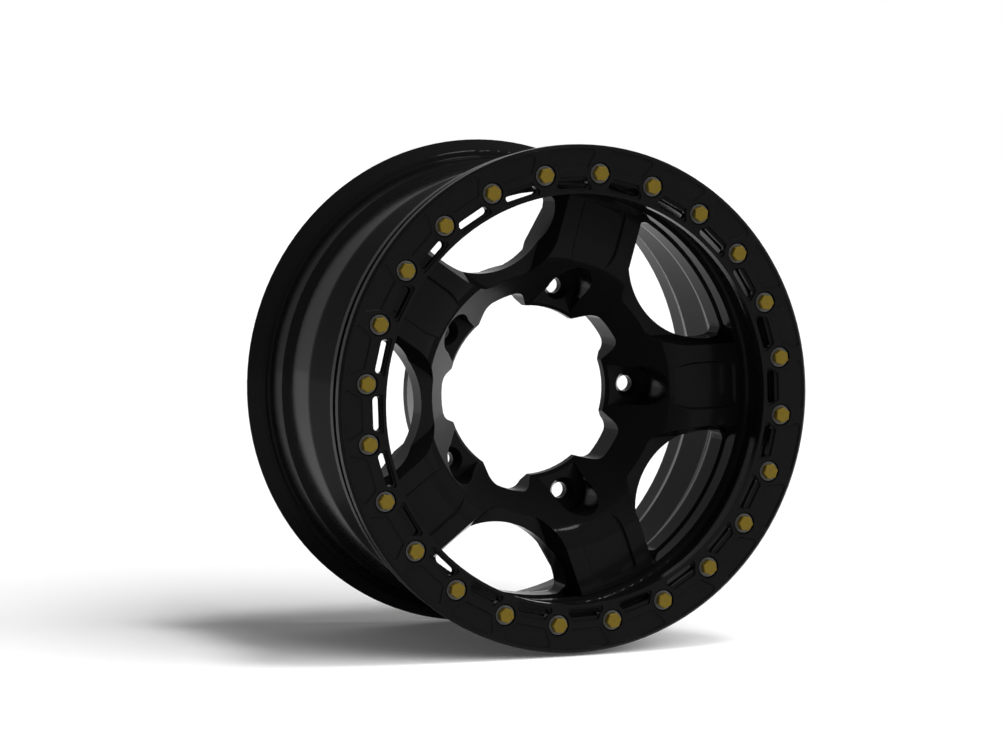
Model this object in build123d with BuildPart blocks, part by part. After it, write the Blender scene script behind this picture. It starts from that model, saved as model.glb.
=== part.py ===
from build123d import *
from math import atan, cos, degrees, radians, sin, tan
import os

# Beadlock wheel for a 17 x 9 inch rim, in millimetres. The wheel's axis is Y: +Y points
# inboard, towards the vehicle, and -Y outboard, towards the viewer. The origin is on the
# axis, in the plane where the wheel sits on the hub. "Out" is a distance outboard of
# that plane, so it is negative on the inboard side.

# Spokes, lugs and centre bore
spoke_count = 5
clock = 1.86  # angle of the first spoke above +X, in degrees
lug_circle_r = 102.5
lug_hole_r = 7.6
bore_r = 80.0
bore_chamfer = 6.0

# Hub
cone_foot_out = 15.1  # where the hub's cone meets the bore
cone_slope = 0.747  # radius gained by the cone for each mm outboard
boss_over = 17.0  # from the lug circle out to the rim of the mounting boss
boss_land = 10.0
boss_draft = 9.65  # degrees

# Lug pockets and seats
pad_out = 19.0
pocket_r = 18.6
mouth_lug_half_w = 17.4  # half of the width of a pocket's mouth, at the lug
mouth_bore_half_w = 19.6  # and at the bore
mouth_blend_r = 12.0
seat_r = 13.0
seat_half_angle = 30.0

# Hollows in the hub's back, between the lugs
hollow_inner = 1.5  # edges of a hollow, inward and outward of the lug circle
hollow_outer = 11.0
hollow_half_deg = 15.0
hollow_depth = 24.0
hollow_corner_r = 5.0

# Spokes and the web between them
web_out = 61.0
web_thick = 21.0
spoke_rise = 22.0
spoke_half_w = 38.5
spoke_foot_half_w = 48.0
spoke_root_r = 11.0
roll_r = 30.0  # between the hub's cone and the spokes' faces
rib_half_w = 36.0
rib_flat = 37.5  # from the lug circle out to where the rib's back starts to rise
rib_depth = 7.0  # the rib's depth behind the web, at the barrel
panel_half_w = 20.6
panel_depth = 2.4
panel_slope = 38.0  # degrees
panel_bend = 46.0  # from the lug circle out to where the panel's floor bends to the hub
panel_bend_r = 52.0
panel_bend_drop = 8.6
panel_end_gap = 7.4
panel_corner_r = 5.5

# Windows and scallops
window_r = 72.0
window_web = 10.3  # web left between the hub's cone and the window
window_lip = 2.0
window_corner_r = 9.0
scallop_depth = 14.5
scallop_half_w = 23.5
scallop_lean = 20.0  # degrees
scallop_corner_r = 12.0

# Front wall, lip and the land that carries the ring
ledge_drop = 0.6
ledge_w = 8.0
ledge_fillet_r = 4.0
front_wall_depth = 45.1
land_inner = 8.25  # from the ring's bolt circle in to the front wall
land_outer = 10.25  # from the ring's bolt circle out to the bead tube
bead_gap = 13.5
bead_corner_r = 3.0
lip_over = 13.0
lip_thick = 7.3
lip_root_drop = 1.8  # the slope of the lip's back face
shoulder_wall = 9.0

# Barrel and inboard flange
drop_r = 199.5
drop_front = 10.0  # the drop's front edge, outboard of the web's face
drop_w = 15.0
cone_w = 58.0
mid_r = 212.0
mid_w = 53.0
hump_h = 1.3
hump_w = 6.5
seat_w = 29.0
seat_rise = 2.9
bead_r = 218.5
flange_foot_h = 5.5
flange_h = 16.7
flange_w = 17.0
flange_edge = 1.6
flange_thick = 9.0
barrel_wall = 8.0
drop_front_fillet_r = 8.0
drop_back_fillet_r = 16.0
mid_fillet_r = 24.0
inner_ridge_w = 6.0  # from the web's back to where the barrel's inside opens out
inner_ridge_r = 20.0
inner_bend_r = 16.0
inner_flange_r = 8.0
rib_bury = 4.0  # how far a rib's end runs into the barrel's wall

# Ring
ring_bolt_r = 206.25
ring_bolt_count = 24
ring_thick = 9.2
ring_inner_reach = 19.0  # from the bolt circle in to the ring's bore
ring_outer_reach = 25.6
ring_bevel = 2.4
pocket_depth = 1.2
pocket_outer = 21.75  # edges of the shallow pockets, outward of the bolt circle
pocket_inner = 3.5
pocket_outer_deg = 7.1
pocket_inner_deg = 4.0
pocket_slope = 42.0  # degrees
pocket_corner_r = 2.5
recess_depth = 2.0
recess_outer = 3.2  # edges of the slot recesses, inward of the bolt circle
recess_wide = 12.35
recess_inner = 15.45
recess_outer_deg = 3.53
recess_wide_deg = 5.3
recess_inner_deg = 5.1
recess_corner_r = 1.2
slot_w = 7.4
slot_mid = 10.8
slot_half_deg = 4.55

# Bolts and washers
bolt_r = 3.97
bolt_hex = 12.7
bolt_head_h = 5.4
bolt_chamfer = 0.6
bolt_length = 31.6
washer_r = 8.9
washer_thick = 1.6
washer_hole_r = 4.4
counterbore_r = 10.1
counterbore_depth = 2.7
ring_hole_r = 4.5
thread_gap = 0.04
hole_end_gap = 3.0

# Stations and radii worked out from the sizes above
half_pitch = 180 / spoke_count
overcut = 1.0
spoke_face_out = web_out + spoke_rise
web_back_out = web_out - web_thick
ledge_out = spoke_face_out - ledge_drop
land_out = ledge_out + front_wall_depth
ring_face_out = land_out + ring_thick
washer_seat_out = ring_face_out - counterbore_depth
head_seat_out = washer_seat_out + washer_thick
bolt_end_out = head_seat_out - bolt_length
lip_front_out = land_out - bead_gap
lip_back_out = lip_front_out - lip_thick
front_wall_r = ring_bolt_r - land_inner
well_r = front_wall_r - ledge_w
bead_tube_r = ring_bolt_r + land_outer
lip_r = bead_tube_r + lip_over
boss_r = lug_circle_r + boss_over
web_hub_r = bore_r + (web_out - cone_foot_out) * cone_slope
window_centre_r = web_hub_r + window_web + window_r
window_outer_r = well_r - window_lip
cone_top_r = bore_r + (spoke_face_out - cone_foot_out) * cone_slope
panel_out = spoke_face_out - panel_depth
drop_front_out = web_out + drop_front
drop_back_out = drop_front_out - drop_w
mid_front_out = drop_back_out - cone_w
mid_back_out = mid_front_out - mid_w
hump_out = mid_back_out - hump_w
seat_front_out = hump_out - hump_w
heel_out = seat_front_out - seat_w
rear_out = heel_out - flange_w
flange_r = bead_r + flange_h
seat_front_r = bead_r - seat_rise
barrel_inner_r = mid_r - barrel_wall
ring_bolt_start = clock + 180 / ring_bolt_count

section = Plane(origin=(0, 0, 0), x_dir=(1, 0, 0), z_dir=(0, 0, -1))  # radius, out


def station(out):
    """The plane across the axis at a distance outboard, facing outboard."""
    return Plane.XZ.offset(out)


def polar(radius, angle):
    """A point at a radius and an angle in degrees."""
    return (radius * cos(radians(angle)), radius * sin(radians(angle)))


def corner(shape, point):
    """The vertex of a sketch nearest to a point."""
    return shape.vertices().sort_by_distance(point)[0]


def at_lugs():
    """One place on each spoke's axis, at the lug circle, with x outward."""
    return PolarLocations(lug_circle_r, spoke_count, start_angle=clock)


def at_windows():
    """One place on the wheel's axis for each window, with x along the window's middle."""
    return PolarLocations(0, spoke_count, start_angle=clock + half_pitch)


os.makedirs("parts", exist_ok=True)


# Gaps cut between the spokes, down to the web. Their sides lean with the spokes' flanks,
# and curve into the hub at the spokes' roots.
spoke_lean = degrees(atan((spoke_foot_half_w - spoke_half_w) / spoke_rise))
gap_apex = spoke_foot_half_w / sin(radians(half_pitch))
gap_far_x = gap_apex + lip_r * cos(radians(half_pitch))
gap_far_y = lip_r * sin(radians(half_pitch))
with BuildPart() as spoke_gaps:
    with BuildSketch(station(web_out)) as gaps:
        with at_windows():
            Polygon((gap_apex, 0), (gap_far_x, -gap_far_y), (gap_far_x, gap_far_y), align=None)
        Circle(web_hub_r, mode=Mode.SUBTRACT)
        roots = [v for v in gaps.vertices() if Vector(v).length < well_r]
        fillet(roots, spoke_root_r)
    extrude(amount=spoke_rise + overcut, taper=-spoke_lean)
    with BuildSketch(station(web_out)):
        Circle(well_r)
    extrude(amount=spoke_rise + overcut, mode=Mode.INTERSECT)

# Ribs behind the spokes, deepest at the hub and rising towards the barrel
rib_flat_r = lug_circle_r + rib_flat
rib_end_r = window_outer_r + rib_bury
with BuildPart() as ribs:
    with BuildSketch(station(web_back_out + overcut)):
        with at_lugs():
            Rectangle(rib_end_r - lug_circle_r, 2 * rib_half_w, align=(Align.MIN, Align.CENTER))
    extrude(amount=-web_back_out - overcut)
    with BuildSketch(section):
        Polygon(
            (bore_r, web_back_out + overcut),
            (rib_end_r, web_back_out + overcut),
            (rib_end_r, web_back_out - rib_depth),
            (rib_flat_r, 0),
            (bore_r, 0),
            align=None,
        )
    revolve(axis=Axis.Y, mode=Mode.INTERSECT)

# The hub ends of the panels in the spokes' faces, where their floors bend down
panel_draft = tan(radians(panel_slope))
panel_foot_half_w = panel_half_w - panel_bend_drop * panel_draft
panel_bend_at = lug_circle_r + panel_bend
with BuildPart() as panel_ends:
    with BuildSketch(station(panel_out - panel_bend_drop)):
        with at_lugs():
            Rectangle(panel_bend, 2 * panel_foot_half_w, align=(Align.MIN, Align.CENTER))
    extrude(amount=panel_bend_drop + panel_depth + overcut, taper=-panel_slope)
    with BuildSketch(section):
        with Locations((panel_bend_at, panel_out - panel_bend_r)):
            Circle(panel_bend_r)
        with Locations((panel_bend_at, panel_out)):
            Rectangle(panel_bend, panel_bend, align=(Align.MIN, Align.MAX))
    revolve(axis=Axis.Y, mode=Mode.SUBTRACT)

# The wheel: barrel, front wall, spokes and hub in one piece
shoulder_r = front_wall_r + shoulder_wall
with BuildPart() as wheel:
    with BuildSketch(section) as wheel_section:
        Polygon(
            (front_wall_r, land_out),
            (bead_tube_r, land_out),
            (bead_tube_r, lip_front_out),
            (lip_r, lip_front_out),
            (lip_r, lip_back_out),
            (lip_r - lip_thick, lip_back_out - lip_root_drop),
            (shoulder_r, ledge_out + lip_thick),
            (shoulder_r, ledge_out),
            (drop_r, drop_front_out),
            (drop_r, drop_back_out),
            (mid_r, mid_front_out),
            (mid_r, mid_back_out),
            (seat_front_r + hump_h, hump_out),
            (seat_front_r, seat_front_out),
            (bead_r, heel_out),
            (bead_r + flange_foot_h, heel_out),
            (flange_r, rear_out + flange_edge),
            (flange_r, rear_out),
            (flange_r - flange_thick, rear_out),
            (bead_r - flange_thick, heel_out),
            (seat_front_r - barrel_wall, seat_front_out),
            (barrel_inner_r, mid_back_out),
            (barrel_inner_r, mid_front_out),
            (window_outer_r, web_back_out - inner_ridge_w),
            (window_outer_r, web_back_out),
            (boss_r + (web_back_out - boss_land) * tan(radians(boss_draft)), web_back_out),
            (boss_r, boss_land),
            (boss_r, 0),
            (bore_r + bore_chamfer, 0),
            (bore_r, bore_chamfer),
            (bore_r, cone_foot_out),
            (cone_top_r, spoke_face_out),
            (well_r, spoke_face_out),
            (well_r, ledge_out),
            (front_wall_r, ledge_out),
            align=None,
        )
        fillet(corner(wheel_section, (cone_top_r, spoke_face_out)), roll_r)
        fillet(corner(wheel_section, (bead_tube_r, lip_front_out)), bead_corner_r)
        fillet(corner(wheel_section, (bead_r, heel_out)), flange_foot_h / 2)
        fillet(corner(wheel_section, (bead_r + flange_foot_h, heel_out)), flange_foot_h)
        fillet(corner(wheel_section, (mid_r, mid_front_out)), mid_fillet_r)
        fillet(corner(wheel_section, (drop_r, drop_back_out)), drop_back_fillet_r)
        fillet(corner(wheel_section, (drop_r, drop_front_out)), drop_front_fillet_r)
        ridge = corner(wheel_section, (window_outer_r, web_back_out - inner_ridge_w))
        fillet(ridge, inner_ridge_r)
        fillet(corner(wheel_section, (barrel_inner_r, mid_front_out)), inner_bend_r)
        fillet(corner(wheel_section, (bead_r - flange_thick, heel_out)), inner_flange_r)
        fillet(corner(wheel_section, (front_wall_r, ledge_out)), ledge_fillet_r)
    revolve(axis=Axis.Y)
    add(spoke_gaps.part, mode=Mode.SUBTRACT)
    add(ribs.part)

    # Windows
    with BuildSketch(station(web_back_out - overcut)) as windows:
        with at_windows():
            with Locations((window_centre_r, 0)):
                Circle(window_r)
        Circle(window_outer_r, mode=Mode.INTERSECT)
        fillet(windows.vertices(), window_corner_r)
    extrude(amount=web_thick + spoke_rise + 2 * overcut, mode=Mode.SUBTRACT)

    # Scallops of the centre bore
    scallop_r = bore_r + scallop_depth
    scallop_in_r = bore_r - scallop_depth
    lean = tan(radians(scallop_lean))
    inner_half_w = scallop_half_w + scallop_depth * lean
    outer_half_w = scallop_half_w - 2 * scallop_depth * lean
    with BuildSketch(station(-overcut)) as scallops:
        with at_windows():
            Polygon(
                (scallop_in_r, -inner_half_w),
                (scallop_r + scallop_depth, -outer_half_w),
                (scallop_r + scallop_depth, outer_half_w),
                (scallop_in_r, inner_half_w),
                align=None,
            )
        Circle(scallop_r, mode=Mode.INTERSECT)
        outer_corners = [v for v in scallops.vertices() if Vector(v).length > bore_r]
        fillet(outer_corners, scallop_corner_r)
    scallop_rim_out = cone_foot_out + scallop_depth / cone_slope
    extrude(amount=scallop_rim_out + 2 * overcut, mode=Mode.SUBTRACT)

    # Panels sunk in the spokes' faces, with sloped sides and open at the hub end
    panel_length = well_r - panel_end_gap - lug_circle_r
    with BuildSketch(station(panel_out)) as panels:
        with at_lugs():
            with Locations((panel_bend, 0)):
                Rectangle(
                    panel_length - panel_bend,
                    2 * panel_half_w,
                    align=(Align.MIN, Align.CENTER),
                )
        outer_corners = [v for v in panels.vertices() if Vector(v).length > well_r - panel_half_w]
        fillet(outer_corners, panel_corner_r)
    extrude(amount=panel_depth + overcut, taper=-panel_slope, mode=Mode.SUBTRACT)
    add(panel_ends.part, mode=Mode.SUBTRACT)

    # Hollows in the hub's back
    with BuildSketch(station(-overcut)) as hollows:
        with at_windows():
            Polygon(
                (0, 0),
                polar(2 * boss_r, -hollow_half_deg),
                polar(2 * boss_r, hollow_half_deg),
                align=None,
            )
        Circle(lug_circle_r + hollow_outer, mode=Mode.INTERSECT)
        Circle(lug_circle_r - hollow_inner, mode=Mode.SUBTRACT)
        fillet(hollows.vertices(), hollow_corner_r)
    extrude(amount=hollow_depth + overcut, mode=Mode.SUBTRACT)

    # Lug pockets, each with a mouth that opens to the bore
    mouth_run = lug_circle_r - bore_r
    mouth_reach = mouth_run + scallop_depth
    mouth_flare = (mouth_bore_half_w - mouth_lug_half_w) / mouth_run
    mouth_far_half_w = mouth_lug_half_w + mouth_flare * mouth_reach
    with BuildSketch(station(pad_out)) as pockets:
        with at_lugs():
            Circle(pocket_r)
            Polygon(
                (0, -mouth_lug_half_w),
                (0, mouth_lug_half_w),
                (-mouth_reach, mouth_far_half_w),
                (-mouth_reach, -mouth_far_half_w),
                align=None,
            )
        joins = [v for v in pockets.vertices() if Vector(v).length > bore_r]
        fillet(joins, mouth_blend_r)
    extrude(amount=spoke_face_out - pad_out + overcut, mode=Mode.SUBTRACT)

    # Lug seats and holes
    seat_h = (seat_r - lug_hole_r) / tan(radians(seat_half_angle))
    with Locations(station(pad_out - seat_h)):
        with at_lugs():
            Cone(
                lug_hole_r,
                seat_r,
                seat_h,
                align=(Align.CENTER, Align.CENTER, Align.MIN),
                mode=Mode.SUBTRACT,
            )
    with BuildSketch(station(-overcut)):
        with at_lugs():
            Circle(lug_hole_r)
    extrude(amount=pad_out, mode=Mode.SUBTRACT)

    # Tapped holes for the ring's bolts
    with BuildSketch(station(land_out)):
        with PolarLocations(ring_bolt_r, ring_bolt_count, start_angle=ring_bolt_start):
            Circle(bolt_r + thread_gap)
    extrude(amount=bolt_end_out - hole_end_gap - land_out, mode=Mode.SUBTRACT)

wheel.part.label = "wheel"
export_step(wheel.part, "parts/wheel.step")


# The ring that clamps the tyre's outer bead
ring_in_r = ring_bolt_r - ring_inner_reach
ring_out_r = ring_bolt_r + ring_outer_reach
with BuildPart() as beadlock_ring:
    with BuildSketch(section):
        Polygon(
            (ring_in_r, land_out),
            (ring_out_r, land_out),
            (ring_out_r, ring_face_out - ring_bevel),
            (ring_out_r - ring_bevel, ring_face_out),
            (ring_in_r, ring_face_out),
            align=None,
        )
    revolve(axis=Axis.Y)

    # Shallow pockets with sloped sides between the bolts, in the ring's outer half
    pocket_wall = pocket_depth * tan(radians(pocket_slope))
    pocket_far_r = ring_out_r + ring_bevel
    with BuildSketch(station(ring_face_out - pocket_depth)) as face_pockets:
        with PolarLocations(0, ring_bolt_count, start_angle=clock):
            Polygon(
                polar(ring_bolt_r + pocket_inner, -pocket_inner_deg),
                polar(pocket_far_r, -pocket_outer_deg),
                polar(pocket_far_r, pocket_outer_deg),
                polar(ring_bolt_r + pocket_inner, pocket_inner_deg),
                align=None,
            )
        Circle(ring_bolt_r + pocket_outer, mode=Mode.INTERSECT)
        offset(amount=-pocket_wall)
        fillet(face_pockets.vertices(), pocket_corner_r)
    extrude(amount=pocket_depth + overcut, taper=-pocket_slope, mode=Mode.SUBTRACT)

    # Recesses round the slots, in the ring's inner half
    with BuildSketch(station(ring_face_out - recess_depth)) as recesses:
        with PolarLocations(0, ring_bolt_count, start_angle=clock):
            Polygon(
                polar(ring_bolt_r - recess_inner, -recess_inner_deg),
                polar(ring_bolt_r - recess_wide, -recess_wide_deg),
                polar(ring_bolt_r - recess_outer, -recess_outer_deg),
                polar(ring_bolt_r - recess_outer, recess_outer_deg),
                polar(ring_bolt_r - recess_wide, recess_wide_deg),
                polar(ring_bolt_r - recess_inner, recess_inner_deg),
                align=None,
            )
        fillet(recesses.vertices(), recess_corner_r)
    extrude(amount=recess_depth + overcut, mode=Mode.SUBTRACT)

    # Slots through the ring
    slot_length = 2 * (ring_bolt_r - slot_mid) * sin(radians(slot_half_deg))
    with BuildSketch(station(land_out - overcut)):
        with PolarLocations(ring_bolt_r - slot_mid, ring_bolt_count, start_angle=clock):
            SlotOverall(slot_length, slot_w, rotation=90)
    extrude(amount=ring_thick + 2 * overcut, mode=Mode.SUBTRACT)

    # Bolt holes and the counterbores for the washers
    with BuildSketch(station(land_out - overcut)):
        with PolarLocations(ring_bolt_r, ring_bolt_count, start_angle=ring_bolt_start):
            Circle(ring_hole_r)
    extrude(amount=ring_thick + 2 * overcut, mode=Mode.SUBTRACT)
    with BuildSketch(station(washer_seat_out)):
        with PolarLocations(ring_bolt_r, ring_bolt_count, start_angle=ring_bolt_start):
            Circle(counterbore_r)
    extrude(amount=counterbore_depth + overcut, mode=Mode.SUBTRACT)

beadlock_ring.part.label = "beadlock_ring"
export_step(beadlock_ring.part, "parts/beadlock_ring.step")


# Bolts and washers, one pair at each hole of the ring. A head's flat faces the axis.
for number in range(ring_bolt_count):
    angle = ring_bolt_start + number * 360 / ring_bolt_count
    centre = polar(ring_bolt_r, angle)

    with BuildPart() as bolt:
        with BuildSketch(station(head_seat_out)):
            with Locations(centre):
                RegularPolygon(bolt_hex / 2, 6, major_radius=False, rotation=angle + 30)
        extrude(amount=bolt_head_h)
        with BuildSketch(station(bolt_end_out)):
            with Locations(centre):
                Circle(bolt_r)
        extrude(amount=bolt_length + bolt_head_h / 2)
        head_rim = bolt.faces().sort_by(Axis.Y)[0].edges()
        chamfer(head_rim, bolt_chamfer)
    bolt.part.label = f"bolt_{number + 1:02d}"
    export_step(bolt.part, f"parts/{bolt.part.label}.step")

    with BuildPart() as washer:
        with BuildSketch(station(washer_seat_out)):
            with Locations(centre):
                Circle(washer_r)
                Circle(washer_hole_r, mode=Mode.SUBTRACT)
        extrude(amount=washer_thick)
    washer.part.label = f"washer_{number + 1:02d}"
    export_step(washer.part, f"parts/{washer.part.label}.step")
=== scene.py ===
from math import radians

import bmesh
import bpy
from mathutils import Matrix, Vector


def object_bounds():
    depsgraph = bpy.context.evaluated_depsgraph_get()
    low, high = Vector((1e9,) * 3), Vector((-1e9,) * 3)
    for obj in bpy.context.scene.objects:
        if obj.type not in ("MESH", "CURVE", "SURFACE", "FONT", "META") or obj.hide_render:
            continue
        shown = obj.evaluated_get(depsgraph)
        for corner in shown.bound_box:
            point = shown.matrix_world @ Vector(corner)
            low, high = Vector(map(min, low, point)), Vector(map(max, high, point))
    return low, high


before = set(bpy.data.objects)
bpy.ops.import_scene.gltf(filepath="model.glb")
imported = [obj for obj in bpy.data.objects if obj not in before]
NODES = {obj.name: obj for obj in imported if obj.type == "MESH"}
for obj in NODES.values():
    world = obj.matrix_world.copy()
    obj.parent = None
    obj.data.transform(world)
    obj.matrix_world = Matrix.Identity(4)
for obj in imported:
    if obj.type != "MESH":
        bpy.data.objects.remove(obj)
cad_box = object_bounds()

MM = 0.001
BOLTS = sorted(name for name in NODES if name.startswith("bolt_"))
WASHERS = sorted(name for name in NODES if name.startswith("washer_"))

# Tones, each as its dark and its light shade
WHEEL_BLACK = ((0.0043, 0.0043, 0.0043), (0.0058, 0.0058, 0.0058))
RING_BLACK = ((0.0038, 0.0038, 0.0038), (0.0052, 0.0052, 0.0052))
YELLOW_ZINC = ((0.070, 0.044, 0.002), (0.17, 0.12, 0.010))
PLAIN_ZINC = ((0.045, 0.045, 0.043), (0.10, 0.10, 0.097))
WHITE = (1.0, 1.0, 1.0, 1.0)
FLOOR_WHITE = (0.98, 0.98, 0.98, 1.0)

# Sizes of the patterns, as repeats to the metre
CLOUD_SCALE = 22.0
GRAIN_SCALE = 900.0
BLOTCH_SCALE = 380.0
SPECK_SCALE = 1500.0
MIDDLE = 0.5

# How far the shading rounds each edge
WHEEL_EDGE = 0.7 * MM
RING_EDGE = 0.5 * MM
BOLT_EDGE = 0.35 * MM
WASHER_EDGE = 0.25 * MM

# Floor
FLOOR_Z = cad_box[0].z
FLOOR_REACH = 30.0
FLOOR_LIFT = 0.04

# Camera, at the photograph's viewing angle
CAMERA_PLACE = Vector((-1.22969, -2.93729, 0.25049))
RIGHT = Vector((0.92475, -0.38059, 0.0))
FORWARD = Vector((0.37956, 0.92225, -0.07339)).normalized()
SENSOR_MM = 36.0
LENS_MM = 121.34
FARTHEST = 100.0

# Mirrored sky: level in front of the wheel and behind it, and how much brighter or dimmer it
# is at the horizon and high up
FRONT_LEVEL, BEHIND_LEVEL = 0.15, 0.4
FRONT_Y, BEHIND_Y = -0.75, 0.1
HORIZON_GAIN, HIGH_GAIN = 2.0, 0.9
HORIZON_Z, HIGH_Z = 0.0, 0.5
FAINT = 0.18


class Term:
    """A shader value that can be added, subtracted and multiplied in a plain expression."""

    def __init__(self, tree, socket):
        self.tree = tree
        self.socket = socket

    def join(self, operation, first, second):
        node = self.tree.nodes.new("ShaderNodeMath")
        node.operation = operation
        for place, term in zip(node.inputs, (first, second)):
            if isinstance(term, Term):
                self.tree.links.new(term.socket, place)
            else:
                place.default_value = term
        return Term(self.tree, node.outputs[0])

    def __add__(self, other):
        return self.join("ADD", self, other)

    def __radd__(self, other):
        return self.join("ADD", other, self)

    def __sub__(self, other):
        return self.join("SUBTRACT", self, other)

    def __rsub__(self, other):
        return self.join("SUBTRACT", other, self)

    def __mul__(self, other):
        return self.join("MULTIPLY", self, other)

    def __rmul__(self, other):
        return self.join("MULTIPLY", other, self)


class Shading:
    """The nodes of one material or of the world, and the shader that they feed."""

    def __init__(self, tree, shader):
        self.tree = tree
        self.shader = tree.nodes[shader]

    def node(self, kind, settings=None, output=0, **inputs):
        """Adds a node: its settings first, then the values or links of its sockets."""
        made = self.tree.nodes.new("ShaderNode" + kind)
        for key, value in (settings or {}).items():
            if key == "stops":
                for stop, (place, colour) in zip(made.color_ramp.elements, value):
                    stop.position = place
                    stop.color = colour
            else:
                setattr(made, key, value)
        for socket, value in inputs.items():
            place = made.inputs[socket.replace("_", " ")]
            if isinstance(value, Term):
                self.tree.links.new(value.socket, place)
            else:
                place.default_value = value
        return Term(self.tree, made.outputs[output])

    def feed(self, socket, term):
        self.tree.links.new(term.socket, self.shader.inputs[socket])


class Finish(Shading):
    """A material with one Principled shader."""

    def __init__(self, name, **sockets):
        self.material = bpy.data.materials.new(name)
        self.material.use_nodes = True
        super().__init__(self.material.node_tree, "Principled BSDF")
        for socket, value in sockets.items():
            self.shader.inputs[socket.replace("_", " ")].default_value = value

    def noise(self, scale, detail, roughness):
        """An even noise from 0 to 1 that stays on the piece."""
        place = self.node("TexCoord", output="Object")
        return self.node("TexNoise", Vector=place, Scale=scale, Detail=detail,
                         Roughness=roughness)

    def tone(self, factor, shades):
        """Colours the piece between a dark and a light shade, by a factor from 0 to 1."""
        dark, light = shades
        stops = [(0.0, (*dark, 1.0)), (1.0, (*light, 1.0))]
        self.feed("Base Color", self.node("ValToRGB", {"stops": stops}, Fac=factor))


def black_coat(name, shades, roughness, edge):
    """A smooth black coat: faint clouding of its tone and gloss, a trace of orange peel,
    and softened edges that catch the light."""
    finish = Finish(name, Specular_IOR_Level=0.036, IOR=1.5)
    cloud = finish.noise(CLOUD_SCALE, 3.0, 0.55)
    grain = finish.noise(GRAIN_SCALE, 2.0, 0.5)
    finish.tone(0.6 * cloud + 0.4 * grain, shades)
    finish.feed("Roughness", roughness + 0.06 * (cloud - MIDDLE) + 0.05 * (grain - MIDDLE))
    soft = finish.node("Bevel", {"samples": 8}, Radius=edge)
    peel = finish.node("Bump", Strength=0.012, Distance=0.6 * MM, Height=grain, Normal=soft)
    finish.feed("Normal", peel)
    return finish.material


def yellow_zinc():
    """Zinc plate with a yellow passivate: mottled, slightly rough, half metallic."""
    finish = Finish("yellow_zinc_plate", Specular_IOR_Level=0.25)
    blotch = finish.noise(BLOTCH_SCALE, 4.0, 0.6)
    speck = finish.noise(SPECK_SCALE, 2.0, 0.6)
    finish.tone(0.7 * blotch + 0.3 * speck, YELLOW_ZINC)
    finish.feed("Roughness", 0.38 + 0.2 * speck)
    finish.feed("Metallic", 0.25 + 0.3 * blotch)
    soft = finish.node("Bevel", {"samples": 6}, Radius=BOLT_EDGE)
    bump = finish.node("Bump", Strength=0.12, Distance=0.2 * MM, Height=speck, Normal=soft)
    finish.feed("Normal", bump)
    return finish.material


def plain_zinc():
    """Plain grey zinc plate on the washers, finely speckled."""
    finish = Finish("washer_zinc_plate", Specular_IOR_Level=0.5)
    speck = finish.noise(GRAIN_SCALE, 3.0, 0.6)
    finish.tone(speck, PLAIN_ZINC)
    finish.feed("Roughness", 0.32 + 0.18 * speck)
    finish.feed("Metallic", 0.5 + 0.2 * speck)
    finish.feed("Normal", finish.node("Bevel", {"samples": 6}, Radius=WASHER_EDGE))
    return finish.material


def dress(names, material):
    """Gives pieces carried over from the frame their finish."""
    for name in names:
        finishes = NODES[name].data.materials
        finishes.clear()
        finishes.append(material)


def pale_floor():
    """A wide pale floor that the wheel stands on, white to the camera where nothing
    shades it."""
    mesh = bpy.data.meshes.new("studio_floor")
    floor = bpy.data.objects.new("studio_floor", mesh)
    bpy.context.scene.collection.objects.link(floor)
    shape = bmesh.new()
    bmesh.ops.create_grid(shape, x_segments=1, y_segments=1, size=FLOOR_REACH)
    bmesh.ops.translate(shape, verts=shape.verts, vec=(0, 0, FLOOR_Z))
    shape.to_mesh(mesh)
    shape.free()
    finish = Finish("studio_white", Base_Color=FLOOR_WHITE, Roughness=1.0,
                    Specular_IOR_Level=0.0, Emission_Color=WHITE)
    seen = finish.node("LightPath", output="Is Camera Ray")
    finish.feed("Emission Strength", FLOOR_LIFT * seen)
    mesh.materials.append(finish.material)


def studio_camera():
    """The camera, which looks slightly down at the ring side of the wheel."""
    data = bpy.data.cameras.new("studio_camera")
    data.sensor_width = SENSOR_MM
    data.lens = LENS_MM
    data.clip_end = FARTHEST
    camera = bpy.data.objects.new("studio_camera", data)
    turn = Matrix((RIGHT, RIGHT.cross(FORWARD), -FORWARD)).transposed()
    camera.matrix_world = Matrix.Translation(CAMERA_PLACE) @ turn.to_4x4()
    bpy.context.scene.collection.objects.link(camera)
    bpy.context.scene.camera = camera


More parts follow.
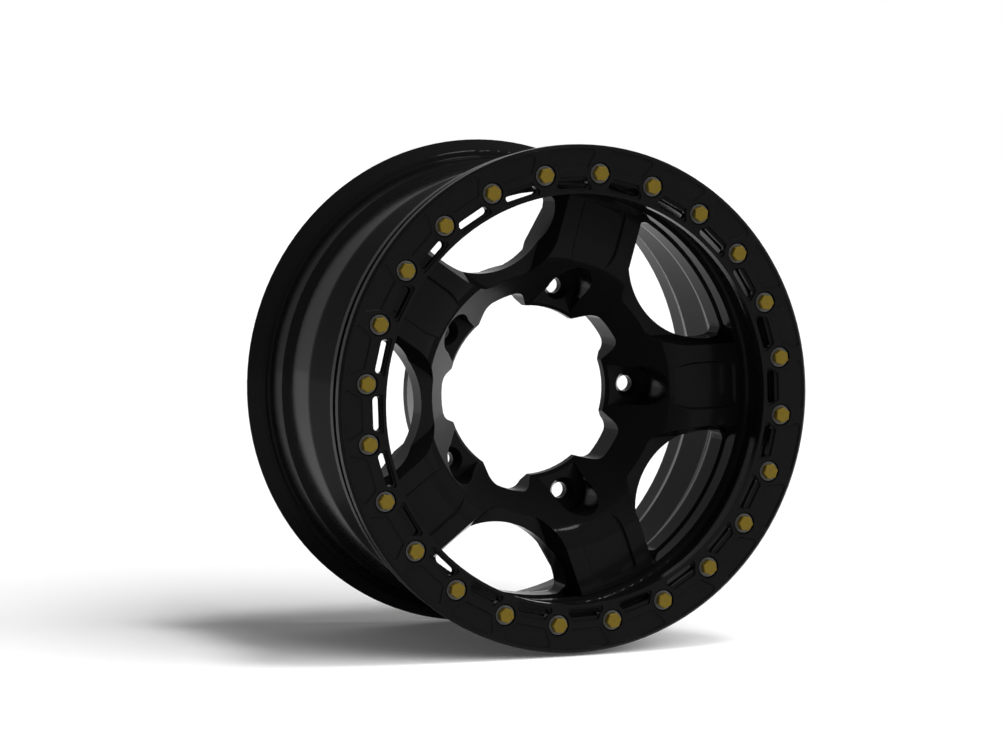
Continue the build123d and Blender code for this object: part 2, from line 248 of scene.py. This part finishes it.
def distant_lamp(name, travel, energy, spread, mirrored=True):
    """A lamp far away: its light travels one way, and a wide spread makes soft shadows."""
    data = bpy.data.lights.new(name, "SUN")
    data.energy = energy
    data.angle = radians(spread)
    lamp = bpy.data.objects.new(name, data)
    lamp.visible_glossy = mirrored
    lamp.rotation_mode = "QUATERNION"
    lamp.rotation_quaternion = Vector(travel).normalized().to_track_quat("-Z", "Y")
    bpy.context.scene.collection.objects.link(lamp)


def studio_world():
    """White to the camera. In reflections it is bright beside and behind the wheel, dimmer
    in front of it, and brightest near the horizon. As a light it is faint."""
    world = bpy.data.worlds.new("studio_world")
    world.use_nodes = True
    bpy.context.scene.world = world
    sky = Shading(world.node_tree, "Background")
    sky.shader.inputs["Color"].default_value = WHITE
    direction = sky.node("TexCoord", output="Generated")

    def fade(axis, start, end, low, high):
        """A level that runs from low to high along one axis of the sky."""
        along = sky.node("SeparateXYZ", output=axis, Vector=direction)
        return sky.node("MapRange", Value=along, From_Min=start, From_Max=end,
                        To_Min=low, To_Max=high)

    camera_ray = sky.node("LightPath", output="Is Camera Ray")
    glossy_ray = sky.node("LightPath", output="Is Glossy Ray")
    mirrored = (fade("Y", FRONT_Y, BEHIND_Y, FRONT_LEVEL, BEHIND_LEVEL)
                * fade("Z", HORIZON_Z, HIGH_Z, HORIZON_GAIN, HIGH_GAIN))
    neither = (1.0 - camera_ray) * (1.0 - glossy_ray)
    sky.feed("Strength", camera_ray + glossy_ray * mirrored + neither * FAINT)


zinc = yellow_zinc()
plate = plain_zinc()
dress(["wheel"], black_coat("black_wheel_coat", WHEEL_BLACK, 0.12, WHEEL_EDGE))
dress(["beadlock_ring"], black_coat("black_ring_coat", RING_BLACK, 0.16, RING_EDGE))
dress(BOLTS, zinc)
dress(WASHERS, plate)

pale_floor()
studio_camera()

# A wide soft box high in front on the right, which draws the wheel's long soft shadow, and a
# smaller bright one in the ceiling, whose image runs along the curved edges
distant_lamp("soft_box", (-0.50, 0.68, -0.58), 3.6, 62.0, mirrored=False)
distant_lamp("ceiling_box", (-0.25, 0.25, -0.93), 1.0, 12.0)
studio_world()

bpy.context.scene.view_settings.view_transform = "Standard"
